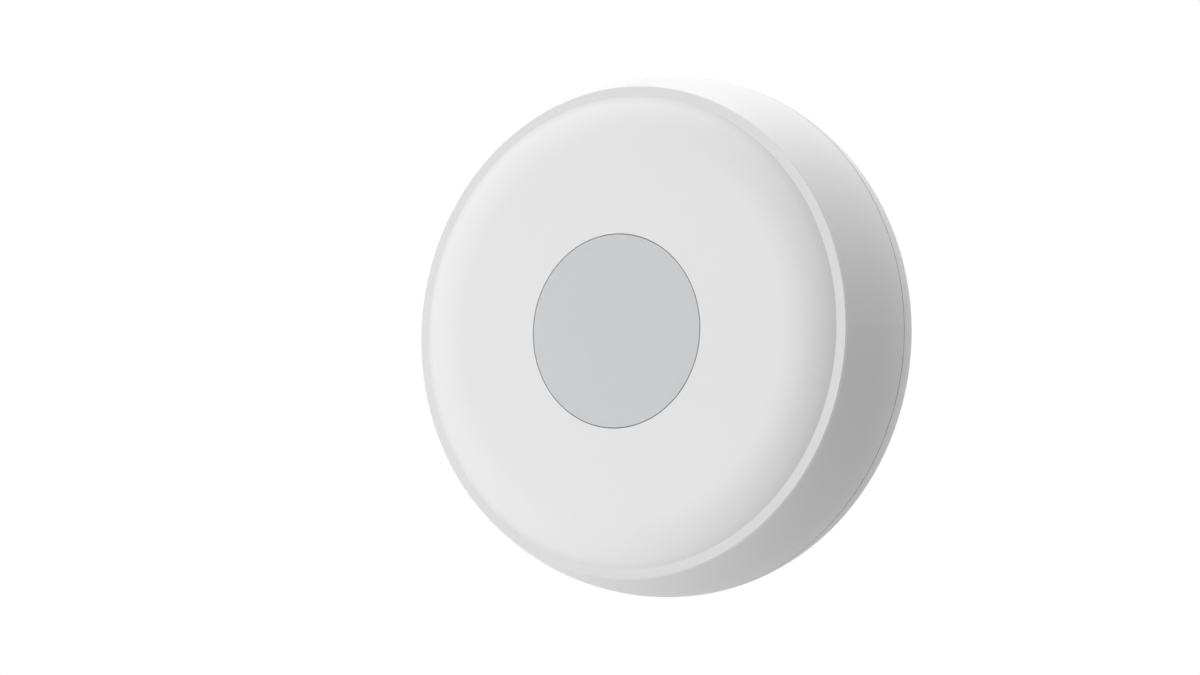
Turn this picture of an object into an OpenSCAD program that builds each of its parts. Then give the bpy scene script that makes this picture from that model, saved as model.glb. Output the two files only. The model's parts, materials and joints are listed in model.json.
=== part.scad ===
// Round wall button. A moulded shell with a domed face and a round press key locks by a bayonet
// on a wall plate. A coin cell, a circuit board and a tactile switch sit inside.
// Sizes are in millimetres. Each sub-part is drawn with z running out of the wall, and place()
// then stands it upright: the back on the plane y = 0, the front towards -y, z up.

/* [Shell] */
// Largest diameter, at the seam
body_d = 45; // [44:0.5:50]
// Step in of the side wall between the seam and the front ring
wall_taper = 1.75; // [1.2:0.05:2.2]
// Width of the flat front ring
ring_w = 0.85; // [0.5:0.05:1.5]
// Rise of the domed face above the front ring
dome_rise = 1.15; // [0.8:0.05:1.6]
// Radial width of the roll from the flat of the face down to the ring
dome_roll_w = 3.8; // [3:0.1:5]
// Thickness of the side wall
wall_t = 1.5; // [1.2:0.1:1.8]
// Thickness of the face
face_t = 1.5; // [1.2:0.1:1.7]
// Chamfer on the outer edge of the front ring
ring_chamfer = 0.06; // [0.03:0.01:0.15]

/* [Key] */
// Diameter of the press key
key_d = 16.2; // [14:0.1:18]
// Gap between the key and the hole in the face, all round
key_gap = 0.06; // [0.05:0.01:0.2]
// Travel of the key
key_travel = 0.35; // [0.2:0.05:0.4]
// Thickness of the key's top
key_top_t = 1.4; // [1:0.1:1.6]
// Width of the skirt under the key's edge
key_skirt_w = 1; // [0.7:0.1:1.5]
// How far the key's flange reaches under the face
flange_reach = 1.1; // [0.8:0.1:1.5]
// Thickness of the key's flange
flange_t = 0.6; // [0.4:0.1:0.7]
// Diameter of the stem that presses the switch
stem_d = 3; // [2:0.2:4]
// Length of that stem under the key's top
stem_l = 0.5; // [0.3:0.05:1.5]
// Chamfer on the edges of the key and of its hole
key_chamfer = 0.03; // [0.02:0.01:0.1]

/* [Wall plate] */
// Height of the plate's visible edge
plate_edge_h = 2.4; // [2:0.05:3]
// Step in of the plate's edge between the seam and its back
rear_taper = 0.4; // [0.2:0.05:0.8]
// Thickness of the plate's floor
plate_t = 1.6; // [1.4:0.1:1.9]
// Shadow gap between the plate and the shell
seam_gap = 0.12; // [0.05:0.01:0.3]
// Chamfer on the plate's rear edge
rear_chamfer = 0.2; // [0.1:0.05:0.4]
// Distance between the two wall screw holes
wall_screw_spacing = 28; // [26:0.5:30]
// Diameter of the wall screw holes
wall_screw_d = 3.5; // [3:0.1:4]
// Diameter of the countersinks for the wall screws
wall_screw_head_d = 5.6; // [5:0.1:6]

/* [Adhesive pad] */
// Width of the plate's back round the recess for the pad
pad_border = 2.4; // [1.5:0.1:3]
// Thickness of the foam pad
pad_t = 0.8; // [0.6:0.1:1.2]
// Depth of the recess that holds the pad
pad_recess = 0.5; // [0.3:0.05:0.55]

/* [Bayonet] */
// Angle that the shell turns to unlock
unlock_angle = 20; // [17:1:30]
// Angle covered by each lug on the plate
lug_span = 16; // [10:1:20]
// Thickness of a lug
lug_t = 0.8; // [0.6:0.1:1]
// Thickness of a tab
tab_t = 0.8; // [0.6:0.1:1]
// Radial overlap of lug and tab
lug_overlap = 0.7; // [0.4:0.1:1]
// Thickness of the upstanding rim that carries the lugs
rim_t = 1.2; // [0.9:0.1:1.5]
// Angle covered by each stretch of that rim
rim_span = 84; // [60:2:100]

/* [Coin cell] */
// Diameter of the cell
cell_d = 20; // [18:0.5:22]
// Thickness of the cell
cell_t = 3.2; // [2.5:0.1:3.4]
// Width of the can's shoulder round the raised cap
cell_shoulder_w = 1.1; // [0.8:0.1:2]
// Rise of the cap above the can's shoulder
cell_cap_h = 0.4; // [0.2:0.05:0.6]
// Thickness of the holder's wall
holder_t = 1.2; // [0.8:0.1:1.6]

/* [Circuit board] */
// Thickness of the board
board_t = 1; // [0.8:0.1:1.2]
// Distance of the board screws from the board's edge
screw_inset = 3; // [2.8:0.1:3.6]
// Length of the board screws under the head
screw_len = 3; // [2.5:0.1:3.2]
// Diameter of the board screws' heads
screw_head_d = 3.4; // [3:0.1:3.8]
// Height of the board screws' heads
screw_head_h = 1; // [0.7:0.1:1.2]

/* [Switch] */
// Side of the switch body
switch_w = 5.2; // [4.8:0.1:6]
// Height of the switch body
switch_h = 1.1; // [1:0.05:1.2]
// Diameter of the plunger
plunger_d = 2.4; // [2:0.1:2.8]

/* [Hidden] */
$fn = 96;

// Clearances
side_gap = 0.2;         // turning clearance in the bayonet
lug_wall_gap = 0.25;    // lug to the inside of the shell wall
lug_play = 0.1;         // lug to tab
stop_play = 0.5;        // degrees from a lug to its stop at rest
free_play = 2;          // degrees that the turn takes a lug past its tab
stop_gap = 0.05;        // key flange to the underside of the face
press_gap = 0.05;       // key stem to plunger, plunger to dome
guide_gap = 0.2;        // key flange to its guide
pad_gap = 0.2;          // pad to the edge of its recess
board_gap = 0.7;        // board to the tabs it passes on the way in
lip_gap = 0.2;          // plate's lip to the shell wall and to the tabs
chip_gap = 0.5;         // parts on the board to the key's guide
cell_side_gap = 0.25;   // cell to its holder
cell_end_gap = 0.1;     // cell to the holder's hooks
contact_gap = 0.03;     // sprung contact to the cell
chip_edge_gap = 1.3;    // chip to the edge of the board
join = 0.5;             // overlap that makes a rib one solid with its wall
over = 1;               // how far a cut runs past a face

// Heights, counted from the wall. The shell is as high as what it holds.
pad_proud = pad_t - pad_recess;
z_plate = pad_proud;
z_floor = z_plate + plate_t;
z_edge = z_plate + plate_edge_h;
z_shell = z_edge + seam_gap;
hook_t = 0.4;
hook_clear = 0.3;
z_cell = z_floor + hook_clear + hook_t + cell_end_gap;
z_cell_top = z_cell + cell_t;
contact_h = 0.6;
z_board = z_cell_top + contact_h;
z_board_top = z_board + board_t;
switch_cover_t = 0.2;
z_switch_body = z_board_top + switch_h;
z_switch_top = z_switch_body + switch_cover_t;
plunger_rest = 0.15;
z_plunger = z_switch_top + key_travel + plunger_rest;
z_stem = z_plunger + press_gap;
z_key_top = z_stem + stem_l;
z_face = z_key_top + key_top_t;
z_under = z_face - face_t;
z_ring = z_face - dome_rise;
shell_h = z_ring - z_shell;
plunger_flange_t = 0.3;
z_plunger_flange = z_switch_body - press_gap - plunger_flange_t;
snap_h = key_travel + press_gap;
z_snap = z_plunger_flange - press_gap - snap_h;
z_flange_top = z_under - stop_gap;
z_flange = z_flange_top - flange_t;
lip_h = 0.3;
band_ledge = 0.4;
z_lip = z_shell + lip_h;
z_tab = z_lip + lip_gap;
z_lug = z_tab + tab_t + lug_play;
z_lug_top = z_lug + lug_t;

// Radii. The side wall is an arc that leaves the seam square to it and ends at the front ring.
body_r = body_d / 2;
ring_r = body_r - wall_taper;
wall_arc_r = arc_radius(shell_h, wall_taper);
wall_arc_x = body_r - wall_arc_r;
dome_r = ring_r - ring_w;
dome_flat_r = dome_r - dome_roll_w;
dome_arc_r = arc_radius(dome_roll_w, dome_rise);
z_dome_arc = z_face - dome_arc_r;
rear_r = body_r - rear_taper;
rear_arc_r = arc_radius(plate_edge_h, rear_taper);
recess_r = rear_r - pad_border;
pad_r = recess_r - pad_gap;
key_r = key_d / 2;
key_hole_r = key_r + key_gap;
flange_r = key_hole_r + flange_reach;
guide_r = flange_r + guide_gap;
lug_r = shell_inner_r(z_lug_top) - lug_wall_gap;
tab_r = lug_r - lug_overlap;
rim_r = tab_r - side_gap;
rim_in_r = rim_r - rim_t;
lip_r = shell_inner_r(z_lip) - lip_gap;
band_in_r = rim_in_r - band_ledge;
board_r = tab_r - board_gap;
screw_circle_r = board_r - screw_inset;
cell_r = cell_d / 2;
cell_cap_r = cell_r - cell_shoulder_w;
holder_in_r = cell_r + cell_side_gap;
holder_r = holder_in_r + holder_t;
plunger_r = plunger_d / 2;

// Bayonet: lugs on the plate, tabs and stops in the shell
lock_count = 3;
lug_angle = 30;
tab_span = 2 * (unlock_angle - free_play) - lug_span;
stop_span = 4;

// Bosses and screws of the board
boss_angle = 90;
boss_count = 3;
boss_r = 2.1;
pilot_r = 0.8;
pilot_spare = 0.3;      // depth of the pilot hole past the screw
screw_core_r = 0.72;
screw_hole_r = 1.1;
slot_w = screw_head_d / 8;
slot_l = screw_head_d * 0.6;
slot_h = screw_head_h * 0.6;
slot_turns = [45, 135];

// Key's guide and ribs
guide_t = 0.8;
z_guide = z_flange - key_travel;
guide_rib_w = 1.2;
guide_rib_reach = 0.6;
key_rib_t = 0.8;
key_rib_count = 4;

// Plate: islands round the wall screws and a rib under the cell
wall_screw_count = 2;
island_r = 3;
pad_hole_r = island_r + pad_gap;
cell_rib_r = 6;
cell_rib_t = 1;
cell_rib_clear = 0.2;

// Cell, holder and contacts
can_edge_r = 0.4;
gasket_w = 0.35;
holder_opening = 50;    // degrees of the holder left open for the contact
notch_w = 9;            // finger notch opposite the contact
sill_h = 1.2;           // holder left between the notch and the board
hook_count = 2;
hook_angle = 90;
hook_span = 24;
hook_reach = 0.8;
contact_strip_t = 0.2;
side_strip_w = 5;
side_foot_l = 2.4;
tongue_w = 3;
tongue_l = 3.5;
tongue_foot_l = 2.5;
tongue_tip_l = 1.5;

// Switch
plunger_flange_w = 0.4;
plunger_side_gap = 0.15;
plunger_flange_r = plunger_r + plunger_flange_w;
switch_well_r = plunger_flange_r + plunger_side_gap;
snap_base_r = plunger_flange_r - press_gap;
snap_t = 0.08;
lead_w = 1;
lead_t = 0.15;
lead_l = 0.9;
lead_h = 0.5;
leg_w = 2.4;
leg_t = 0.15;
leg_h = 0.7;

// Parts on the board, which stand between the key's guide and the board's edge
part_in_r = guide_r + guide_t + chip_gap;
part_mid_r = (part_in_r + board_r) / 2;
chip_w = board_r - chip_edge_gap - part_in_r;
chip_x = part_in_r + chip_w / 2;
chip_h = 0.85;
part_lead = 0.25;       // length of a part's metal ends
small_lip = 0.03;       // how far the ends of a small part stand out
large_lip = 0.05;       // how far the ends of a large part stand out
small_l = 1;            // length and width of the small parts
small_w = 0.5;
small_pitch = 1.6;      // spacing of the small parts in their column
row_count = 4;          // small parts in a row or column
resistor_h = 0.32;
crystal_angle = 38;
crystal_l = 3.2;
crystal_w = 2.5;
crystal_h = 0.45;
lid_inset = 0.15;
lid_h = 0.3;
antenna_angle = 150;
antenna_l = 5;
antenna_w = 2;
antenna_h = 0.9;
led_l = 1.6;
led_w = 0.8;
led_h = 0.6;
led_base_h = 0.25;
led_lens_l = 1.1;
inductor_angle = 122;
inductor_l = 2.5;
inductor_w = 2;
inductor_h = 1.1;
reservoir_l = 3.5;
reservoir_w = 2.8;
reservoir_h = 1.6;

// Radius of an arc that starts tangent to a run and steps aside by a drop
function arc_radius(run, drop) = (run * run + drop * drop) / (2 * drop);
// Inside radius of the shell wall at a height
function shell_inner_r(z) = wall_arc_x + sqrt(pow(wall_arc_r - wall_t, 2) - pow(z - z_shell, 2));

// Place of one small part in a row that is centred on zero
function row_at(i, pitch) = (i - (row_count - 1) / 2) * pitch;

// Stands a piece drawn on its back upright against the wall
module place() rotate([90, 0, 0]) children();

// Repeats a piece round the axis
module around(start, count) for (i = [0:count - 1])
    rotate([0, 0, start + i * 360 / count]) children();

// Round wall between two radii and two heights
module ring(r_in, r_out, z0, z1) rotate_extrude() translate([r_in, z0]) square([r_out - r_in, z1 - z0]);

// Part of a round wall, centred on the x direction
module sector(r_in, r_out, z0, z1, span) rotate([0, 0, -span / 2]) rotate_extrude(angle = span)
    translate([r_in, z0]) square([r_out - r_in, z1 - z0]);

// Block centred in x and y that stands on a height
module block(x, y, h, z) translate([-x / 2, -y / 2, z]) cube([x, y, h]);

// Breaks a round outer edge at a radius and a height; the cut opens outwards and to one side
module broken_edge(r, z, size, side) translate([r, z])
    polygon([[-size, 0], [over, -side * (size + over)], [over, side * over], [-size, side * over]]);

// Outline of the shell's outside, from the axis outwards
module shell_outside() difference() {
    union() {
        intersection() {
            union() {
                translate([wall_arc_x, z_shell]) circle(wall_arc_r);
                translate([0, z_shell]) square([wall_arc_x, shell_h]);
            }
            translate([0, z_shell]) square([body_r, shell_h]);
        }
        translate([0, z_ring - join]) square([dome_flat_r, dome_rise + join]);
        intersection() {
            translate([dome_flat_r, z_dome_arc]) circle(dome_arc_r);
            translate([dome_flat_r - join, z_ring - join]) square([dome_roll_w + join, dome_rise + join]);
        }
    }
    broken_edge(ring_r, z_ring, ring_chamfer, 1);
}

// Outline of the space inside the shell: the same arcs, one wall further in
module shell_inside() intersection() {
    union() {
        translate([wall_arc_x, z_shell]) circle(wall_arc_r - wall_t);
        translate([0, z_shell - over]) square([wall_arc_x, wall_arc_r - wall_t + over]);
    }
    union() {
        translate([0, z_dome_arc - dome_arc_r]) square([body_r, dome_arc_r]);
        translate([0, z_dome_arc - dome_arc_r]) square([dome_flat_r, 2 * dome_arc_r - face_t]);
        translate([dome_flat_r, z_dome_arc]) circle(dome_arc_r - face_t);
    }
}

// Hole for the key, with its edge broken
module key_hole() {
    edge_r = key_hole_r + key_chamfer;
    translate([0, z_under - over]) square([key_hole_r, face_t + 2 * over]);
    translate([0, z_face])
        polygon([[0, -key_chamfer], [key_hole_r, -key_chamfer], [edge_r, 0], [edge_r, over], [0, over]]);
}

module screw_boss() translate([screw_circle_r, 0, z_board_top])
    cylinder(r = boss_r, h = z_under + join - z_board_top);

module screw_pilot() translate([screw_circle_r, 0, z_board_top - over])
    cylinder(r = pilot_r, h = screw_len - board_t + pilot_spare + over);

// Tab that holds a lug, with the stop that ends the turn
module bayonet_tab() {
    sector(tab_r, shell_inner_r(z_tab) + join, z_tab, z_tab + tab_t, tab_span);
    rotate([0, 0, lug_span / 2 + stop_play + stop_span / 2])
        sector(tab_r, shell_inner_r(z_lug_top) + join, z_tab, z_lug_top, stop_span);
}

// Round guide under the face, with ribs that keep the key from turning
module key_guide() {
    ring(guide_r, guide_r + guide_t, z_guide, z_under + join);
    around(boss_angle, boss_count) translate([guide_r - guide_rib_reach, -guide_rib_w / 2, z_guide])
        cube([guide_rib_reach + join, guide_rib_w, z_under + join - z_guide]);
}

module front_shell() color("white") place() difference() {
    union() {
        rotate_extrude() difference() {
            shell_outside();
            shell_inside();
            key_hole();
        }
        around(boss_angle, boss_count) screw_boss();
        around(lug_angle, lock_count) bayonet_tab();
        key_guide();
    }
    around(boss_angle, boss_count) screw_pilot();
}

// Outline of the key: top, skirt, flange and stem
module key_outline() difference() {
    union() {
        translate([0, z_key_top]) square([key_r, key_top_t]);
        translate([key_r - key_skirt_w, z_flange]) square([key_skirt_w, z_key_top + join - z_flange]);
        translate([key_r - key_skirt_w, z_flange]) square([key_skirt_w + flange_r - key_r, flange_t]);
        translate([0, z_stem]) square([stem_d / 2, stem_l + join]);
    }
    broken_edge(key_r, z_face, key_chamfer, 1);
}

module key_cap() color("#c9cacb") place() {
    difference() {
        rotate_extrude() key_outline();
        around(boss_angle, boss_count)
            translate([flange_r - guide_rib_reach, -guide_rib_w / 2 - guide_gap, z_flange - over])
                cube([guide_rib_reach + over, guide_rib_w + 2 * guide_gap, flange_t + 2 * over]);
    }
    around(0, key_rib_count) translate([0, -key_rib_t / 2, z_stem])
        cube([key_r - key_skirt_w / 2, key_rib_t, stem_l + join]);
}

// Outline of the plate: an edge that curves in to the back, a lip inside the shell wall, a floor
// and a recess for the pad
module plate_outline() difference() {
    union() {
        intersection() {
            translate([body_r - rear_arc_r, z_edge]) circle(rear_arc_r);
            translate([body_r - rear_arc_r, z_plate]) square([rear_arc_r, plate_edge_h]);
        }
        translate([0, z_plate]) square([body_r - rear_arc_r + join, plate_t]);
        translate([band_in_r, z_floor - join]) square([lip_r - band_in_r, z_lip - z_floor + join]);
    }
    translate([0, z_floor]) square([band_in_r, z_lip]);
    translate([0, z_plate - over]) square([recess_r, pad_recess + over]);
    broken_edge(rear_r, z_plate, rear_chamfer, -1);
}

// Hole with a right-angled countersink that opens towards the shell
module wall_screw_hole() {
    sink_h = (wall_screw_head_d - wall_screw_d) / 2;
    sink_d = wall_screw_head_d + 2 * join;
    translate([0, 0, z_plate - over]) cylinder(d = wall_screw_d, h = plate_t + 2 * over);
    translate([0, 0, z_floor - sink_h - join])
        cylinder(d1 = wall_screw_d - 2 * join, d2 = sink_d, h = sink_h + 2 * join);
}

module wall_plate() color("white") place() difference() {
    union() {
        rotate_extrude() plate_outline();
        around(0, wall_screw_count) translate([wall_screw_spacing / 2, 0, z_plate])
            cylinder(r = island_r, h = plate_t - join);
        ring(cell_rib_r - cell_rib_t, cell_rib_r, z_floor - join, z_cell - cell_rib_clear);
        around(lug_angle, lock_count) {
            sector(rim_in_r, rim_r, z_lip - join, z_lug_top, rim_span);
            sector(rim_r - join, lug_r, z_lug, z_lug_top, lug_span);
        }
    }
    around(0, wall_screw_count) translate([wall_screw_spacing / 2, 0, 0]) wall_screw_hole();
}

module adhesive_pad() color("#8d9096") place() difference() {
    cylinder(r = pad_r, h = pad_t);
    around(0, wall_screw_count) translate([wall_screw_spacing / 2, 0, -over])
        cylinder(r = pad_hole_r, h = pad_t + 2 * over);
}

module circuit_board() color("#1f5c3a") place() difference() {
    translate([0, 0, z_board]) cylinder(r = board_r, h = board_t);
    around(boss_angle, boss_count) translate([screw_circle_r, 0, z_board - over])
        cylinder(r = screw_hole_r, h = board_t + 2 * over);
}

// Pan-head screw with a cross recess; its head lies against the back of the board
module board_screw() {
    z_head = z_board - screw_head_h;
    translate([0, 0, z_board - join]) cylinder(r = screw_core_r, h = screw_len + join);
    difference() {
        intersection() {
            translate([0, 0, z_head]) cylinder(d = screw_head_d, h = screw_head_h);
            translate([0, 0, z_head + screw_head_d]) sphere(r = screw_head_d);
        }
        for (turn = slot_turns) rotate([0, 0, turn]) block(slot_l, slot_w, slot_h + over, z_head - over);
    }
}

module board_screws() color("silver") place() around(boss_angle, boss_count)
    translate([screw_circle_r, 0, 0]) board_screw();

// Ring wall on the back of the board, open at the contact, with a finger notch opposite it and
// two hooks over the cell
module battery_holder() color("#26282b") place() {
    z_hook = z_floor + hook_clear;
    difference() {
        rotate([0, 0, 180]) sector(holder_in_r, holder_r, z_hook, z_board, 360 - holder_opening);
        translate([-holder_r - over, -notch_w / 2, z_hook - over])
            cube([holder_t + 2 * over, notch_w, z_board - sill_h - z_hook + over]);
    }
    around(hook_angle, hook_count)
        sector(holder_in_r - hook_reach, holder_in_r + join, z_hook, z_hook + hook_t, hook_span);
}

// Sprung strip that bears on the side of the can
module positive_contact() color("#d8b35a") place() {
    x_touch = cell_r + contact_gap;
    x_base = x_touch + contact_h;
    z_touch = z_cell + cell_t / 2;
    z_end = z_cell + cell_t / 5;
    z_bend = z_board - contact_strip_t * 3;
    rotate([90, 0, 0]) translate([0, 0, -side_strip_w / 2]) linear_extrude(side_strip_w) {
        translate([x_base, z_board - contact_strip_t]) square([side_foot_l, contact_strip_t]);
        polygon([[x_base, z_board], [x_base, z_bend], [x_touch, z_touch], [x_base, z_end],
            [x_base + contact_strip_t, z_end], [x_touch + contact_strip_t, z_touch],
            [x_base + contact_strip_t, z_bend], [x_base + contact_strip_t, z_board]]);
    }
}

// Sprung tongue between the board and the cap
module negative_contact() color("#d8b35a") place() {
    x_touch = tongue_tip_l / 3;
    x_tip = x_touch + tongue_tip_l;
    x_bend = x_touch - tongue_l;
    x_foot = x_bend - tongue_foot_l;
    z_touch = z_cell_top + contact_gap;
    z_foot = z_board - contact_strip_t;
    z_tip = z_touch + contact_strip_t;
    rotate([90, 0, 0]) translate([0, 0, -tongue_w / 2]) linear_extrude(tongue_w)
        polygon([[x_foot, z_foot], [x_bend, z_foot], [x_touch, z_touch], [x_tip, z_tip],
            [x_tip, z_tip + contact_strip_t], [x_touch, z_touch + contact_strip_t], [x_bend, z_board],
            [x_foot, z_board]]);
}

// Can of the cell, closed towards the wall plate, with rounded edges
module cell_can() color("#c4c6c8") place() {
    can_h = cell_t - cell_cap_h;
    rotate_extrude() {
        translate([0, z_cell]) square([cell_r - can_edge_r, can_h]);
        translate([0, z_cell + can_edge_r]) square([cell_r, can_h - 2 * can_edge_r]);
        for (z = [z_cell + can_edge_r, z_cell + can_h - can_edge_r])
            translate([cell_r - can_edge_r, z]) circle(can_edge_r);
    }
}

module cell_gasket() color("#3a3c40") place() {
    ring(cell_cap_r, cell_cap_r + gasket_w, z_cell_top - cell_cap_h, z_cell_top - cell_cap_h / 2);
}

module cell_cap() color("#b9bcc0") place() {
    edge_r = cell_cap_h / 2;
    rotate_extrude() {
        translate([0, z_cell_top - cell_cap_h]) square([cell_cap_r - edge_r, cell_cap_h]);
        translate([0, z_cell_top - cell_cap_h]) square([cell_cap_r, cell_cap_h - edge_r]);
        translate([cell_cap_r - edge_r, z_cell_top - edge_r]) circle(edge_r);
    }
}

module switch_body() color("#1d1e20") place() difference() {
    block(switch_w, switch_w, switch_h, z_board_top);
    translate([0, 0, z_snap]) cylinder(r = switch_well_r, h = switch_h);
}

// Four bent leads, flat on the board and up the side of the body
module switch_terminals() color("#cfd2d4") place() {
    lead_x = switch_w / 2 - lead_w;
    for (sx = [0, 1], sy = [0, 1]) mirror([sx, 0, 0]) mirror([0, sy, 0])
        translate([lead_x, switch_w / 2, z_board_top]) {
            cube([lead_w, lead_l, lead_t]);
            cube([lead_w, lead_t, lead_h]);
        }
}

// Snap dome on the floor of the switch well
module switch_dome() color("#b8bbbd") place() {
    snap_r = arc_radius(snap_base_r, snap_h);
    rotate_extrude() intersection() {
        translate([0, z_snap + snap_h - snap_r]) difference() {
            circle(snap_r);
            circle(snap_r - snap_t);
        }
        translate([0, z_snap]) square([snap_base_r, snap_h]);
    }
}

module switch_plunger() color("#e9e6df") place() {
    translate([0, 0, z_plunger_flange]) cylinder(r = plunger_flange_r, h = plunger_flange_t);
    translate([0, 0, z_plunger_flange]) cylinder(r = plunger_r, h = z_plunger - z_plunger_flange);
}

// Pressed metal cover with two folded legs
module switch_cover() color("#cfd2d4") place() {
    difference() {
        block(switch_w + 2 * leg_t, switch_w - 2 * leg_t, switch_cover_t, z_switch_body);
        translate([0, 0, z_switch_body - over])
            cylinder(r = plunger_r + plunger_side_gap, h = switch_cover_t + 2 * over);
    }
    for (side = [0, 1]) mirror([side, 0, 0]) translate([switch_w / 2, -leg_w / 2, z_switch_body - leg_h])
        cube([leg_t, leg_w, leg_h + switch_cover_t]);
}

// Square chip with a bevelled first corner
module microcontroller() color("#202124") place() {
    corner = chip_w / 9;
    half = chip_w / 2;
    translate([chip_x, 0, z_board_top]) linear_extrude(chip_h)
        polygon([[-half, -half], [half, -half], [half, half], [corner - half, half], [-half, half - corner]]);
}

// Ceramic base with a metal lid
module crystal() color("#c9ccd0") place() {
    lid_l = crystal_l - 2 * lid_inset;
    lid_w = crystal_w - 2 * lid_inset;
    rotate([0, 0, crystal_angle]) translate([part_mid_r, 0, 0]) {
        block(crystal_w, crystal_l, crystal_h, z_board_top);
        block(lid_w, lid_l, crystal_h + lid_h, z_board_top);
    }
}

// Two-ended chip: a body between two slightly larger metal ends
module chip(x, y, h, lip) {
    block(x, y, h, z_board_top);
    for (side = [-1, 1]) translate([side * (x - part_lead) / 2, 0, 0])
        block(part_lead, y + 2 * lip, h + lip, z_board_top);
}

// Lies along the edge of the board
module antenna() color("#e6e1d4") place() rotate([0, 0, antenna_angle])
    translate([board_r - antenna_w, 0, 0])
        rotate([0, 0, 90]) chip(antenna_l, antenna_w, antenna_h, large_lip);

// Light under the edge of the key, seen through the gap round it
module status_led() color("#f4f1d8") place() translate([0, key_r, 0]) {
    block(led_l, led_w, led_base_h, z_board_top);
    block(led_lens_l, led_w, led_h, z_board_top);
}

// Rows along both sides of the microcontroller
module capacitors() color("#b08a5e") place() {
    pitch = chip_w / (row_count + 1);
    row_y = chip_w / 2 + small_l;
    for (side = [-1, 1], i = [0:row_count - 1]) translate([chip_x + row_at(i, pitch), side * row_y, 0])
        rotate([0, 0, 90]) chip(small_l, small_w, small_w, small_lip);
}

// Column on the side away from the microcontroller
module resistors() color("#25272a") place() for (i = [0:row_count - 1])
    translate([-part_mid_r, row_at(i, small_pitch), 0]) chip(small_l, small_w, resistor_h, small_lip);

module inductor() color("#55585c") place() rotate([0, 0, inductor_angle])
    translate([part_mid_r, 0, 0]) chip(inductor_l, inductor_w, inductor_h, large_lip);

module reservoir_capacitor() color("#c98a2b") place() translate([0, -part_mid_r, 0])
    chip(reservoir_l, reservoir_w, reservoir_h, large_lip);

front_shell();
key_cap();
wall_plate();
adhesive_pad();
circuit_board();
board_screws();
battery_holder();
positive_contact();
negative_contact();
cell_can();
cell_gasket();
cell_cap();
switch_body();
switch_terminals();
switch_dome();
switch_plunger();
switch_cover();
microcontroller();
crystal();
antenna();
status_led();
capacitors();
resistors();
inductor();
reservoir_capacitor();
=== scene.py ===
# %% [markdown]
# # A round wall button
#
# This lesson dresses a small wireless wall button. Its solids come ready from CAD: a white moulded
# shell, a grey press key, a wall plate, and a board, a coin cell and a switch inside. Here they get
# their materials, a foam pad, a new snap dome, light and a camera. The first cell loads
# the solids as a fixed frame, because every later piece has to fit them.

# %% Load the solids
import json
from math import cos, radians, sin

import bpy
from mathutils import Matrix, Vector


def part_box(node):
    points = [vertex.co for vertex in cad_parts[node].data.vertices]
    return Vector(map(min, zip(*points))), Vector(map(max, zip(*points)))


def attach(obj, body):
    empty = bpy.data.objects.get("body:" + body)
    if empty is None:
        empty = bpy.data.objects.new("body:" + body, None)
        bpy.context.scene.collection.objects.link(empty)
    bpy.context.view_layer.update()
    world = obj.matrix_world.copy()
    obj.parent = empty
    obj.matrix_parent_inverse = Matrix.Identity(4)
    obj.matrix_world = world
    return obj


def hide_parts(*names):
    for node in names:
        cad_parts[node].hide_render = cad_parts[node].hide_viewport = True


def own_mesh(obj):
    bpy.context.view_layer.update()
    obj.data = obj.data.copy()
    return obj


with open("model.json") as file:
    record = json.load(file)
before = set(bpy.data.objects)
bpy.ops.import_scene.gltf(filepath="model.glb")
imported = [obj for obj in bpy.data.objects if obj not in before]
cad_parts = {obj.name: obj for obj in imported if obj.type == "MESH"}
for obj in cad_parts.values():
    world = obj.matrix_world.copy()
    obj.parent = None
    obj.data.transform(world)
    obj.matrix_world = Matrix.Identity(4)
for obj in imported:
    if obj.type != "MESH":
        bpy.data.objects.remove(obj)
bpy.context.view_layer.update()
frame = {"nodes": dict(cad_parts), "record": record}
solids = frame["nodes"]
MM = 0.001

# %% [markdown]
# ## Tools for materials
#
# Colours are picked as sRGB hex values, as in any paint program, but shaders work with linear light,
# so one function turns a hex value into linear numbers. Another adds a node, sets it up and links
# it, which every material needs many times.

# %% Colour and node helpers
def linear(hex_colour):
    shades = [int(hex_colour[i:i + 2], 16) / 255 for i in (1, 3, 5)]
    return [s / 12.92 if s <= 0.04045 else ((s + 0.055) / 1.055) ** 2.4 for s in shades] + [1.0]


def add_node(tree, kind, inputs=None, **settings):
    """Adds a node; an input is a value, or a socket to link from."""
    made = tree.nodes.new(kind)
    for name, value in settings.items():
        setattr(made, name, value)
    for name, value in (inputs or {}).items():
        if isinstance(value, bpy.types.NodeSocket):
            tree.links.new(value, made.inputs[name])
        else:
            made.inputs[name].default_value = value
    return made


print("mid grey #808080 is", round(linear("#808080")[0], 3), "in linear light")


# %% [markdown]
# A new material starts with a Principled shader, and its patterns read Object coordinates, so they
# stay put when the part is turned or moved. `start_material` makes both and hands them over, and
# `dress` puts the finished material on pieces, by their names.

# %% Start of a material
def start_material(name, **shader_values):
    material = bpy.data.materials.new(name)
    material.use_nodes = True
    tree = material.node_tree
    shader = tree.nodes["Principled BSDF"]
    for socket, value in shader_values.items():
        shader.inputs[socket.replace("_", " ")].default_value = value
    place = add_node(tree, "ShaderNodeTexCoord").outputs["Object"]
    return material, tree, shader, place


def dress(material, *names):
    """Gives pieces a material in place of the plain one that a solid comes with."""
    for name in names:
        slots = bpy.data.objects[name].data.materials
        slots.clear()
        slots.append(material)
    print(material.name, "on", ", ".join(names))


# %% [markdown]
# Every surface here is finished the same way: one pattern moves the colour between two near shades,
# and a finer one moves the roughness and the height together, because a raised grain also scatters
# the light. So one function links a tone and a grain to the shader, and each material only has to
# say what its own patterns and numbers are.

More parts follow.
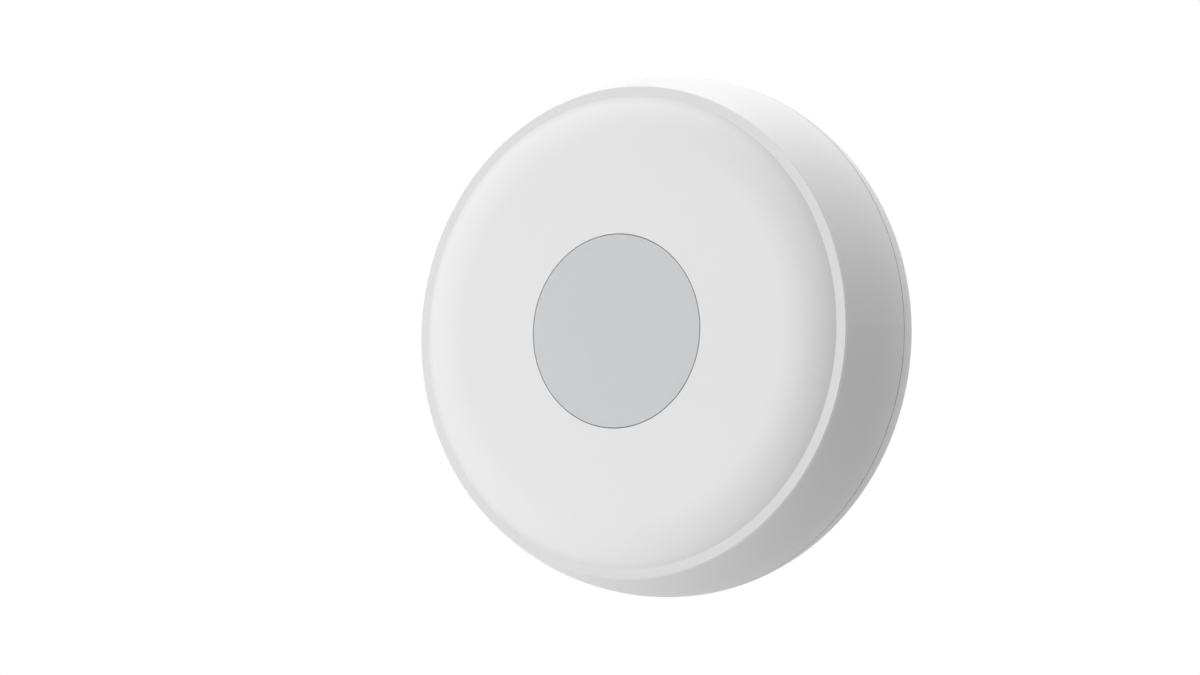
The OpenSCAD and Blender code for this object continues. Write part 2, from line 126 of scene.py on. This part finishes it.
# %% Link a tone and a grain to the shader
def link_patterns(tree, shader, tone, grain, colours, gloss, relief_mm):
    tint = add_node(tree, "ShaderNodeValToRGB", {"Fac": tone})
    for stop, colour in zip(tint.color_ramp.elements, colours):
        stop.color = linear(colour)
    rough = add_node(tree, "ShaderNodeMapRange", {"Value": grain, "To Min": gloss[0], "To Max": gloss[1]})
    relief = add_node(tree, "ShaderNodeBump", {"Height": grain, "Distance": relief_mm * MM})
    tree.links.new(tint.outputs["Color"], shader.inputs["Base Color"])
    tree.links.new(rough.outputs["Result"], shader.inputs["Roughness"])
    tree.links.new(relief.outputs["Normal"], shader.inputs["Normal"])


# %% [markdown]
# ## White moulded ABS
#
# The shell and the wall plate are injection-moulded ABS from a mould with a fine spark-eroded
# texture. It gives a soft sheen without any mirror image, and the white is a little uneven where the
# melt flowed. A plain shader would do from far off, but close up the eye misses the fine grain, so a
# noise moves the height a few thousandths of a millimetre. The real grain is about 0.1 mm, too fine
# to show here, so it is drawn at 0.3 mm. One helper turns such a size into a texture's scale: Object
# coordinates are in metres, and a texture's features are about one unit divided by its scale.

# %% White ABS
FLOW_MM = 9


def pattern_scale(size_mm):
    return 1 / (size_mm * MM)


def moulded_plastic(name, colours, gloss, grain_mm=0.3, relief_mm=0.004, ior=1.54):
    material, tree, shader, place = start_material(name, IOR=ior)
    flow = add_node(tree, "ShaderNodeTexNoise", {"Vector": place, "Scale": pattern_scale(FLOW_MM)})
    grain = add_node(tree, "ShaderNodeTexNoise", {
        "Vector": place, "Scale": pattern_scale(grain_mm), "Detail": 3.0})
    link_patterns(tree, shader, flow.outputs["Fac"], grain.outputs["Fac"], colours, gloss, relief_mm)
    return material


white_abs = moulded_plastic("white_abs_spark_eroded", ("#E6E6E6", "#E8E8E8"), gloss=(0.44, 0.54))
dress(white_abs, "front_shell", "wall_plate")

# %% [markdown]
# On the front ring and in the corner round the dome the white is painted a touch darker. In the
# corner this is painted shade, where the dome's edge falls to the ring, and the ring takes the same
# darker tone. A mask drawn on the surface would do that too, but the ring is round, so the distance
# from the axis is enough, kept to the very front of the shell.
# The Mix node has its sockets in one long row, so they are given by their numbers.

# %% Painted shade in the corner and a darker ring
RING_Y_MM, CORNER_R_MM = -10.05, (19.2, 19.9)


def from_axis(tree, place):
    """Distance from the y axis, round which the button is turned."""
    flat = add_node(tree, "ShaderNodeVectorMath", {0: place, 1: (1, 0, 1)}, operation="MULTIPLY")
    return add_node(tree, "ShaderNodeVectorMath", {0: flat.outputs[0]}, operation="LENGTH").outputs["Value"]


tree = white_abs.node_tree
shader = tree.nodes["Principled BSDF"]
place = add_node(tree, "ShaderNodeTexCoord").outputs["Object"]
depth = add_node(tree, "ShaderNodeSeparateXYZ", {0: place}).outputs["Y"]
corner = add_node(tree, "ShaderNodeMapRange", {
    "Value": from_axis(tree, place), "From Min": CORNER_R_MM[0] * MM, "From Max": CORNER_R_MM[1] * MM})
at_front = add_node(tree, "ShaderNodeMath", {0: depth, 1: RING_Y_MM * MM}, operation="LESS_THAN")
# painted shade in the corner round the dome; the ring takes the same darker tone
corner_shade_and_ring_tone = add_node(tree, "ShaderNodeMath", {
    0: corner.outputs["Result"], 1: at_front.outputs[0]}, operation="MULTIPLY")
white = shader.inputs["Base Color"].links[0].from_socket
toned = add_node(tree, "ShaderNodeMix", {
    0: corner_shade_and_ring_tone.outputs[0], 6: white, 7: linear("#DFDFDF")}, data_type="RGBA")
tree.links.new(toned.outputs[2], shader.inputs["Base Color"])
print("ring and corner toned from", CORNER_R_MM[0], "mm outwards")

# %% [markdown]
# ## Light grey ABS
#
# The press key is moulded in the same plastic with a little grey and a trace of blue in it, so it
# reads as the part to touch. The same function makes it, with a lower relief because a fingertip
# polishes it.

# %% Grey ABS
grey_abs = moulded_plastic(
    "grey_abs_moulded", ("#C9CACC", "#CBCCCE"), gloss=(0.42, 0.52), relief_mm=0.003)
dress(grey_abs, "key_cap")

# %% [markdown]
# ## Other moulded plastics
#
# Inside are more mouldings: the cell holder and the switch body in black nylon, the cell's grommet
# in dark polypropylene, the switch plunger in ivory acetal, and the chip in black epoxy. Acetal and
# polypropylene come out of the mould waxy, nylon a bit duller, and epoxy dullest of all, because its
# glass filler shows. Those differences are in the gloss range and the grain.

# %% Nylon, polypropylene, acetal and epoxy
black_nylon = moulded_plastic(
    "black_nylon_moulded", ("#26272A", "#2D2E31"), gloss=(0.42, 0.56),
    grain_mm=0.25, relief_mm=0.005, ior=1.53)
dress(black_nylon, "battery_holder", "switch_body")
dark_polypropylene = moulded_plastic(
    "dark_polypropylene_moulded", ("#393B3F", "#404246"), gloss=(0.34, 0.46),
    grain_mm=0.2, relief_mm=0.003, ior=1.49)
dress(dark_polypropylene, "cell_gasket")
ivory_acetal = moulded_plastic(
    "ivory_acetal_moulded", ("#E4E0D5", "#EBE8DF"), gloss=(0.3, 0.42),
    grain_mm=0.2, relief_mm=0.003, ior=1.48)
dress(ivory_acetal, "switch_plunger")
black_epoxy = moulded_plastic(
    "black_epoxy_transfer_moulded", ("#1C1D1F", "#232427"), gloss=(0.55, 0.7),
    grain_mm=0.12, relief_mm=0.006)
dress(black_epoxy, "microcontroller")

# %% [markdown]
# ## Parts with tinned ends
#
# Small parts on a board are blocks of ceramic, ferrite or resin with a metal cap at each end, tinned
# so that solder takes. The CAD solid is one body with slightly larger ends, so the metal can come
# from a mask: how far a point lies from the middle, measured along the part. The middle and the
# length are read from the solid itself. The eight capacitors stand in two mirrored rows, so for them
# the distance along the axis is taken without its sign.

# %% Metal ends by a mask
END_MM, TIN, TIN_ROUGHNESS = 0.25, "#C9CBCE", 0.32


def tin_ends(material, name, along, mirrored=False):
    """Makes both ends of a part metal; `along` points from one end to the other."""
    tree = material.node_tree
    shader = tree.nodes["Principled BSDF"]
    reach = [v.co.dot(Vector(along)) for v in solids[name].data.vertices]
    place = add_node(tree, "ShaderNodeTexCoord").outputs["Object"]
    step = add_node(tree, "ShaderNodeVectorMath", {
        0: place, 1: along}, operation="DOT_PRODUCT").outputs["Value"]
    if mirrored:
        reach = [abs(r) for r in reach]
        step = add_node(tree, "ShaderNodeMath", {0: step}, operation="ABSOLUTE").outputs[0]
    middle, half = (max(reach) + min(reach)) / 2, (max(reach) - min(reach)) / 2
    away = add_node(tree, "ShaderNodeMath", {0: step, 1: middle}, operation="SUBTRACT").outputs[0]
    away = add_node(tree, "ShaderNodeMath", {0: away}, operation="ABSOLUTE").outputs[0]
    is_tin = add_node(tree, "ShaderNodeMath", {
        0: away, 1: half - END_MM * MM}, operation="GREATER_THAN").outputs[0]
    body = shader.inputs["Base Color"].links[0].from_socket
    rough = shader.inputs["Roughness"].links[0].from_socket
    colour = add_node(tree, "ShaderNodeMix", {0: is_tin, 6: body, 7: linear(TIN)}, data_type="RGBA")
    gloss = add_node(tree, "ShaderNodeMix", {0: is_tin, 2: rough, 3: TIN_ROUGHNESS})
    tree.links.new(colour.outputs[2], shader.inputs["Base Color"])
    tree.links.new(gloss.outputs[0], shader.inputs["Roughness"])
    tree.links.new(is_tin, shader.inputs["Metallic"])
    dress(material, name)


print("tinned ends", END_MM, "mm long")

# %% [markdown]
# Fired ceramic is matte and fine-grained: cream for the antenna, brown for the capacitors. Pressed
# ferrite is dark grey and a little sparkly, the resistors have a black glaze, and the reservoir
# capacitor is moulded in ochre resin. The antenna and the inductor stand askew on the board, so
# their direction is worked out from the angle at which they are placed.

# %% Ceramic, ferrite, glaze and resin
ANTENNA_TURN, INDUCTOR_TURN = 240, 122


def on_board(degrees):
    return (cos(radians(degrees)), 0.0, sin(radians(degrees)))


cream_ceramic = moulded_plastic(
    "cream_ceramic_fired", ("#DED8C8", "#E8E3D7"), gloss=(0.5, 0.62), grain_mm=0.15, ior=1.6)
tin_ends(cream_ceramic, "antenna", on_board(ANTENNA_TURN))
brown_ceramic = moulded_plastic(
    "brown_ceramic_fired", ("#A98455", "#B68F63"), gloss=(0.45, 0.6),
    grain_mm=0.12, relief_mm=0.003, ior=1.6)
tin_ends(brown_ceramic, "capacitors", (0.0, 0.0, 1.0), mirrored=True)
black_glaze = moulded_plastic(
    "black_glaze_printed", ("#1F2022", "#292B2E"), gloss=(0.22, 0.34), grain_mm=0.1, relief_mm=0.002)
tin_ends(black_glaze, "resistors", (1.0, 0.0, 0.0))
ferrite = moulded_plastic(
    "ferrite_pressed", ("#4E5154", "#5C5F63"), gloss=(0.45, 0.65), grain_mm=0.1, relief_mm=0.008)
tin_ends(ferrite, "inductor", on_board(INDUCTOR_TURN))
ochre_epoxy = moulded_plastic(
    "ochre_epoxy_moulded", ("#C38526", "#CE9032"), gloss=(0.4, 0.52), grain_mm=0.2)
tin_ends(ochre_epoxy, "reservoir_capacitor", (1.0, 0.0, 0.0))

# %% [markdown]
# ## Status light
#
# The status light is a white moulded base with a drop of clear resin that holds a yellow phosphor.
# The eye sees a yellow disc that fades to white. A round gradient about the middle of the part gives
# that, with a smooth, glossy surface over it.

# %% Resin over phosphor
PHOSPHOR_R_MM, SPECK_MM = (0.3, 0.6), 0.08
led_resin, tree, shader, place = start_material("clear_epoxy_over_phosphor", IOR=1.52, Coat_Weight=0.6)
low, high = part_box("status_led")
from_middle = add_node(tree, "ShaderNodeVectorMath", {
    0: place, 1: (Vector(low) + Vector(high)) / 2}, operation="DISTANCE").outputs["Value"]
fade = add_node(tree, "ShaderNodeMapRange", {
    "Value": from_middle, "From Min": PHOSPHOR_R_MM[0] * MM, "From Max": PHOSPHOR_R_MM[1] * MM})
speck = add_node(tree, "ShaderNodeTexNoise", {"Vector": place, "Scale": pattern_scale(SPECK_MM)})
link_patterns(
    tree, shader, fade.outputs["Result"], speck.outputs["Fac"],
    colours=("#E9D468", "#F1EFE6"), gloss=(0.1, 0.2), relief_mm=0.002)
dress(led_resin, "status_led")

# %% [markdown]
# ## Circuit board
#
# The board is glass-fibre epoxy with copper tracks under a green lacquer, the solder resist. Over
# copper the lacquer looks paler and stands up a little. Tracks run in bundles, some one way and some
# across, so the cells of a Voronoi texture, about 6 mm wide, each choose a direction. The Ping-Pong
# sum then goes up and down across the bundle, and a track is where it stays low.

# %% Solder resist over tracks
BUNDLE_MM, TRACK_PITCH_MM, TRACK_W_MM = 6, 0.8, 0.2
WEAVE_MM, WEAVE_SHARE = 0.4, 0.3
board, tree, shader, place = start_material("green_solder_resist_on_glass_epoxy", IOR=1.5)
axes = add_node(tree, "ShaderNodeSeparateXYZ", {0: place}).outputs
bundle = add_node(tree, "ShaderNodeTexVoronoi", {
    "Vector": place, "Scale": pattern_scale(BUNDLE_MM)}, distance="MANHATTAN").outputs["Color"]
turned = add_node(tree, "ShaderNodeMath", {0: bundle, 1: 0.5}, operation="GREATER_THAN").outputs[0]
across = add_node(tree, "ShaderNodeMix", {0: turned, 2: axes["X"], 3: axes["Z"]}).outputs[0]
beside = add_node(tree, "ShaderNodeMath", {
    0: across, 1: TRACK_PITCH_MM / 2 * MM}, operation="PINGPONG").outputs[0]
track = add_node(tree, "ShaderNodeMath", {
    0: beside, 1: TRACK_W_MM / 2 * MM}, operation="LESS_THAN").outputs[0]
weave = add_node(tree, "ShaderNodeTexNoise", {
    "Vector": place, "Scale": pattern_scale(WEAVE_MM)}).outputs["Fac"]
height = add_node(tree, "ShaderNodeMath", {
    0: weave, 1: WEAVE_SHARE, 2: track}, operation="MULTIPLY_ADD").outputs[0]
link_patterns(
    tree, shader, track, height, colours=("#1D5737", "#2F7A4E"), gloss=(0.24, 0.34), relief_mm=0.02)
print("tracks", TRACK_W_MM, "mm wide at", TRACK_PITCH_MM, "mm")

# %% [markdown]
# Small tinned dots show where a plated hole goes through the board. They lie at the middles of cells
# of about 3 mm. The board's cut edge shows the bare yellowish laminate, and the distance from the
# axis picks that out.

# %% Plated holes and the cut edge
HOLE_PITCH_MM, HOLE_SHARE, EDGE_MM = 3, 0.09, 0.05
to_hole = add_node(tree, "ShaderNodeTexVoronoi", {
    "Vector": place, "Scale": pattern_scale(HOLE_PITCH_MM)}).outputs["Distance"]
is_tin = add_node(tree, "ShaderNodeMath", {0: to_hole, 1: HOLE_SHARE}, operation="LESS_THAN").outputs[0]
lacquer = shader.inputs["Base Color"].links[0].from_socket
spotted = add_node(tree, "ShaderNodeMix", {0: is_tin, 6: lacquer, 7: linear(TIN)}, data_type="RGBA")
board_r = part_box("circuit_board")[1][0]
at_edge = add_node(tree, "ShaderNodeMath", {
    0: from_axis(tree, place), 1: board_r - EDGE_MM * MM}, operation="GREATER_THAN").outputs[0]
trimmed = add_node(tree, "ShaderNodeMix", {
    0: at_edge, 6: spotted.outputs[2], 7: linear("#A79F68")}, data_type="RGBA")
tree.links.new(trimmed.outputs[2], shader.inputs["Base Color"])
tree.links.new(is_tin, shader.inputs["Metallic"])
dress(board, "circuit_board")

# %% [markdown]
# ## Metals
#
# A metal takes its look from its colour and from the marks of how it was made. Bright zinc plating
# on the screws is blue-grey with small crystal patches, so a cell texture gives the tone. Brass strip
# keeps fine lines from the rolls, which run along the strip: stretching a noise along the other two
# axes leaves lines that only change across the width. The metals keep the shader's own index of
# refraction, because the colour already says how they reflect.

# %% Zinc and brass
CRYSTAL_MM, LINE_MM, LINE_STRETCH = 0.35, 0.12, (0.03, 0.03, 1.0)


def metal(name, tone, colours, gloss, relief_mm=0.001):
    """Makes a metal; `tone` makes its pattern from the material's tree and place."""
    material, tree, shader, place = start_material(name, Metallic=1.0)
    pattern = tone(tree, place)
    link_patterns(tree, shader, pattern, pattern, colours, gloss, relief_mm)
    return material


def crystal_patches(tree, place):
    return add_node(tree, "ShaderNodeTexVoronoi", {
        "Vector": place, "Scale": pattern_scale(CRYSTAL_MM)}).outputs["Color"]


def rolled_lines(tree, place):
    drawn_out = add_node(tree, "ShaderNodeMapping", {"Vector": place, "Scale": LINE_STRETCH})
    return add_node(tree, "ShaderNodeTexNoise", {
        "Vector": drawn_out.outputs[0], "Scale": pattern_scale(LINE_MM), "Detail": 4.0}).outputs["Fac"]


zinc = metal("zinc_plated_steel", crystal_patches, ("#B9BCC2", "#CBCED3"), gloss=(0.28, 0.4))
dress(zinc, "board_screws")
brass = metal("brass_strip_rolled", rolled_lines, ("#CDA857", "#E2C377"), gloss=(0.2, 0.34))
dress(brass, "positive_contact", "negative_contact")

# %% [markdown]
# The coin cell is nickel-plated steel. Its can and cap are drawn from sheet and then polished while
# they spin, which leaves fine rings round the axis, so its noise depends on that distance alone. The
# switch's cover and leads and the crystal's lid are bright tinned steel with a faintly cloudy
# surface, where the tin froze.

# %% Nickel and tin
RING_MM, CLOUD_MM = 0.15, 0.6


def spun_rings(tree, place):
    return add_node(tree, "ShaderNodeTexNoise", {
        "W": from_axis(tree, place), "Scale": pattern_scale(RING_MM), "Detail": 3.0},
        noise_dimensions="1D").outputs["Fac"]


def frozen_clouds(tree, place):
    return add_node(tree, "ShaderNodeTexNoise", {
        "Vector": place, "Scale": pattern_scale(CLOUD_MM), "Detail": 5.0}).outputs["Fac"]


nickel = metal("nickel_plated_steel_spun", spun_rings, ("#BDBEBF", "#CFD0D1"), gloss=(0.24, 0.36))
dress(nickel, "cell_can", "cell_cap")
tinned = metal("tinned_steel_bright", frozen_clouds, ("#C4C6C8", "#D3D5D7"), gloss=(0.22, 0.36))
dress(tinned, "switch_terminals", "switch_cover", "crystal")

# %% [markdown]
# ## Foam pad
#
# The pad in the back of the wall plate is die-cut from a sheet of closed-cell acrylic foam that
# sticks on both sides. The cutting knife presses the rim, so its edges are round, and two holes
# leave room for the wall screws. It starts as a cylinder of the pad's own size, lying on its side
# because the wall is the plane y = 0. Two more cylinders cut the holes.

# %% Cut the pad
HOLE_R_MM, ROUND_STEPS = 3.2, 160
screws = next(mount for mount in frame["record"]["mounts"] if mount["name"] == "wall_screws")
spacing_mm = screws["dims"]["spacing_x_mm"]
low, high = (Vector(corner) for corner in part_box("adhesive_pad"))
thick = high.y - low.y


def add_disc(name, radius, depth, x):
    bpy.ops.object.select_all(action="DESELECT")
    bpy.ops.mesh.primitive_cylinder_add(
        vertices=ROUND_STEPS, radius=radius, depth=depth,
        location=(x, (low.y + high.y) / 2, 0), rotation=(radians(90), 0, 0))
    bpy.ops.object.transform_apply(location=True, rotation=True, scale=True)
    bpy.context.object.name = name
    return bpy.context.object


pad = add_disc("foam_pad", high.x, thick, 0)
for side in (-1, 1):
    cutter = add_disc("cutter", HOLE_R_MM * MM, 3 * thick, side * spacing_mm / 2 * MM)
    bpy.context.view_layer.objects.active = pad
    hole = pad.modifiers.new("hole", "BOOLEAN")
    hole.operation, hole.object = "DIFFERENCE", cutter
    bpy.ops.object.modifier_apply(modifier="hole")
    bpy.data.objects.remove(cutter)
print("pad", round(2 * high.x / MM, 1), "mm across,", round(thick / MM, 2), "mm thick")

# %% [markdown]
# A bevel with several steps rounds the rim and the holes. Its hardened normals keep the two large
# faces flat in the light, because otherwise the rounding would shade across them. The pad then takes
# the place of its plain CAD solid and rides on the plate.

# %% Round the pad's edges
PRESSED_EDGE_MM, PRESSED_EDGE_STEPS = 0.22, 5
bpy.ops.object.select_all(action="DESELECT")
pad.select_set(True)
bpy.ops.object.shade_smooth()
rounding = pad.modifiers.new("pressed_edge", "BEVEL")
rounding.width, rounding.segments = PRESSED_EDGE_MM * MM, PRESSED_EDGE_STEPS
rounding.limit_method, rounding.harden_normals = "ANGLE", True
bpy.ops.object.modifier_apply(modifier="pressed_edge")
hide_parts("adhesive_pad")
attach(pad, "plate")
print("pad has", len(pad.data.polygons), "faces")

# %% [markdown]
# Closed-cell foam looks matte and finely pitted: the skin shows the tops of bubbles about 0.2 mm
# wide, drawn here at 0.5 mm so that they show. A cell texture gives the pits, and a slow noise makes
# the grey a little uneven, as the adhesive film is. The colour takes half of each, so the pits are
# painted darker than the skin round them, as painted shade in the hollows.

# %% Foam
BUBBLE_MM, FILM_MM, PIT_SHADE_SHARE = 0.5, 2.5, 0.5
foam, tree, shader, place = start_material("closed_cell_acrylic_foam", IOR=1.47)
bubble = add_node(tree, "ShaderNodeTexVoronoi", {
    "Vector": place, "Scale": pattern_scale(BUBBLE_MM)}).outputs["Distance"]
film = add_node(tree, "ShaderNodeTexNoise", {
    "Vector": place, "Scale": pattern_scale(FILM_MM), "Detail": 4.0}).outputs["Fac"]
# the pits are painted darker here: painted shade in the hollows, mixed with the uneven grey of the film
mottle_and_pit_shade = add_node(tree, "ShaderNodeMix", {0: PIT_SHADE_SHARE, 2: film, 3: bubble}).outputs[0]
link_patterns(
    tree, shader, mottle_and_pit_shade, bubble,
    colours=("#5F6267", "#B4B7BC"), gloss=(0.5, 0.75), relief_mm=0.06)
dress(foam, "foam_pad")

# %% [markdown]
# ## Snap dome
#
# In the switch, under the plunger, lies a thin steel dome that gives way with a click and springs
# back. A CAD solid is rigid, so a pressed plunger would cut through it. The dome is made here once
# more, from the box of its solid, as a mesh of its own. A dome this low is a small
# cap of a large sphere, so it starts as a sphere with its poles on the axis, and its radius follows
# from the width and the rise. The first cut lies a little past the rim, to leave some sheet to trim.

# %% Cut the cap
SPARE_MM, CUT_TOLERANCE = 0.1, 1e-7
SPOKES, RINGS = 96, 128
low, high = (Vector(corner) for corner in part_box("switch_dome"))
rise = high.y - low.y
sphere_r = (high.x ** 2 + rise ** 2) / (2 * rise)


def cut_off_behind(y):
    """In edit mode, removes all that lies nearer to the wall than y."""
    bpy.ops.mesh.select_all(action="SELECT")
    bpy.ops.mesh.bisect(
        plane_co=(0, y, 0), plane_no=(0, 1, 0), clear_outer=True, threshold=CUT_TOLERANCE)


bpy.ops.object.select_all(action="DESELECT")
bpy.ops.mesh.primitive_uv_sphere_add(
    segments=SPOKES, ring_count=RINGS, radius=sphere_r,
    location=(0, low.y + sphere_r, 0), rotation=(radians(90), 0, 0))
bpy.ops.object.transform_apply(location=True, rotation=True, scale=True)
snap_dome = bpy.context.object
snap_dome.name = "snap_dome"
bpy.ops.object.mode_set(mode="EDIT")
cut_off_behind(high.y + SPARE_MM * MM)
bpy.ops.object.mode_set(mode="OBJECT")
print("cap of a sphere of", round(sphere_r / MM, 2), "mm,", len(snap_dome.data.polygons), "faces")

# %% [markdown]
# Solidify gives the cap the thickness of its sheet, inwards. The edge then stands square to the
# sheet, but the real dome rests flat on its rim. So a second cut levels the edge, and a bridge of
# faces closes the gap between the outer ring and the inner one.

# %% Thicken the sheet and level the rim
SHEET_MM, SHARP_ANGLE = 0.08, 30
sheet = snap_dome.modifiers.new("sheet", "SOLIDIFY")
sheet.thickness, sheet.offset = SHEET_MM * MM, -1
bpy.ops.object.modifier_apply(modifier="sheet")
bpy.ops.object.mode_set(mode="EDIT")
cut_off_behind(high.y)
bpy.ops.mesh.select_all(action="DESELECT")
bpy.ops.mesh.select_non_manifold()
bpy.ops.mesh.bridge_edge_loops()
bpy.ops.object.mode_set(mode="OBJECT")
bpy.ops.object.shade_smooth_by_angle(angle=radians(SHARP_ANGLE))
dress(tinned, "snap_dome")
print("dome", round(rise / MM, 2), "mm high,", len(snap_dome.data.polygons), "faces")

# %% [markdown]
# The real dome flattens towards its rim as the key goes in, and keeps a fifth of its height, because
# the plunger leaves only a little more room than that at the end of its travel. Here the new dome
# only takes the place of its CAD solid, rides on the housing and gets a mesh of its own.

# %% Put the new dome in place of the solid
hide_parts("switch_dome")
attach(snap_dome, "housing")
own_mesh(snap_dome)

# %% [markdown]
# ## Camera
#
# The camera stands a little to the right of the button and just below its axis, about 200 mm away.
# Its place and lens were worked out from the outlines of the key, the ring and the seam, which are
# all circles round one axis: only one camera turns them into the ellipses that are seen.

# %% Camera
TILT_UP, TURN_LEFT = 3.56, 31.43
camera = bpy.data.objects.new("camera", bpy.data.cameras.new("camera"))
bpy.context.scene.collection.objects.link(camera)
bpy.context.scene.camera = camera
camera.data.lens, camera.data.sensor_width = 69.0, 36.0
camera.location = (0.0990, -0.1756, -0.0125)
camera.rotation_euler = (radians(90 + TILT_UP), 0, radians(TURN_LEFT))
print("camera is", round(camera.location.length / MM), "mm from the middle of the pad")

# %% [markdown]
# ## Floor and white background
#
# The button is shown on plain white. A pale floor lies far below it, and the floor looks white to
# the camera but still lights the button like pale paint. The Light Path node tells the two apart: a
# ray from the camera, or one that a mirror or glass sends on, sees a glow of strength 1, and all
# others see the paint. The glow is dimmed where something stands close, so a shadow stays.

# %% Floor
FLOOR_SIZE, FLOOR_Z, SHADOW_REACH = 6, -0.6, 0.3


def seen_directly(tree):
    """1 for the rays that should see white, 0 for those that carry light to the button."""
    ray = add_node(tree, "ShaderNodeLightPath").outputs
    seen = add_node(tree, "ShaderNodeMath", {
        0: ray["Is Camera Ray"], 1: ray["Is Glossy Ray"]}, operation="MAXIMUM").outputs[0]
    return add_node(tree, "ShaderNodeMath", {
        0: seen, 1: ray["Is Transmission Ray"]}, operation="MAXIMUM").outputs[0]


bpy.ops.object.select_all(action="DESELECT")
bpy.ops.mesh.primitive_plane_add(size=FLOOR_SIZE, location=(0, 0, FLOOR_Z))
floor = bpy.context.object
floor.name = "floor"
floor_paint = bpy.data.materials.new("pale_floor_paint")
floor_paint.use_nodes = True
tree = floor_paint.node_tree
tree.nodes.clear()
paint = add_node(tree, "ShaderNodeBsdfDiffuse", {"Color": linear("#EFEFEF")})
shade = add_node(tree, "ShaderNodeAmbientOcclusion", {"Distance": SHADOW_REACH})
glow = add_node(tree, "ShaderNodeEmission", {"Color": shade.outputs["Color"], "Strength": 1.0})
mixed = add_node(tree, "ShaderNodeMixShader", {
    0: seen_directly(tree), 1: paint.outputs[0], 2: glow.outputs[0]})
add_node(tree, "ShaderNodeOutputMaterial", {"Surface": mixed.outputs[0]})
floor.data.materials.append(floor_paint)
print("floor at", round(floor.location.z / MM), "mm")

# %% [markdown]
# The world does the same for the rest of the background: white to the camera, and a weak even light
# for the button, like the walls of a studio.

# %% World
EVEN_LIGHT = 0.385
world = bpy.data.worlds.new("studio")
bpy.context.scene.world = world
world.use_nodes = True
tree = world.node_tree
tree.nodes.clear()
level = add_node(tree, "ShaderNodeMapRange", {
    "Value": seen_directly(tree), "To Min": EVEN_LIGHT, "To Max": 1.0})
sky = add_node(tree, "ShaderNodeBackground", {
    "Color": linear("#FFFFFF"), "Strength": level.outputs["Result"]})
add_node(tree, "ShaderNodeOutputWorld", {"Surface": sky.outputs[0]})
print("even light", EVEN_LIGHT)

# %% [markdown]
# ## Lamps
#
# Round soft boxes make the shading. The strongest hangs above and whitens the top of the wall. Two
# stand in front on the left, one of them low, so the dome is bright there and falls off to the right,
# and a weaker one is straight in front. Two faint ones behind stand for the light that a white
# backdrop throws back: they lift the rear edge. Each points at the button, and their powers, in
# watts, were set so that the greys of the face, the dome and the wall come out right.

# %% Lamps
LAMP_SIZE, LAMP_DISTANCE = 0.45, 0.6
LAMPS = {
    "top": ((0, 0, 1), 2.45),
    "top_back": ((0, 0.6, 0.8), 0.29),
    "left_front": ((-0.75, -0.65, 0.05), 0.99),
    "left_low": ((-0.55, -0.7, -0.45), 1.01),
    "front": ((-0.1, -1, 0.1), 0.46),
    "back": ((0.35, 0.93, 0), 0.17),
}
for name, (toward, watts) in LAMPS.items():
    data = bpy.data.lights.new(name, "AREA")
    data.shape, data.size, data.energy = "DISK", LAMP_SIZE, watts
    lamp = bpy.data.objects.new(name, data)
    bpy.context.scene.collection.objects.link(lamp)
    lamp.location = Vector(toward).normalized() * LAMP_DISTANCE
    lamp.rotation_euler = Vector(toward).to_track_quat("Z", "Y").to_euler()
    lamp.visible_camera = False
print(len(LAMPS), "lamps,", round(sum(watts for toward, watts in LAMPS.values()), 2), "W")

# %% [markdown]
# ## Finish
#
# The Standard view shows colours as they are written.

# %% View
bpy.context.scene.view_settings.view_transform = "Standard"
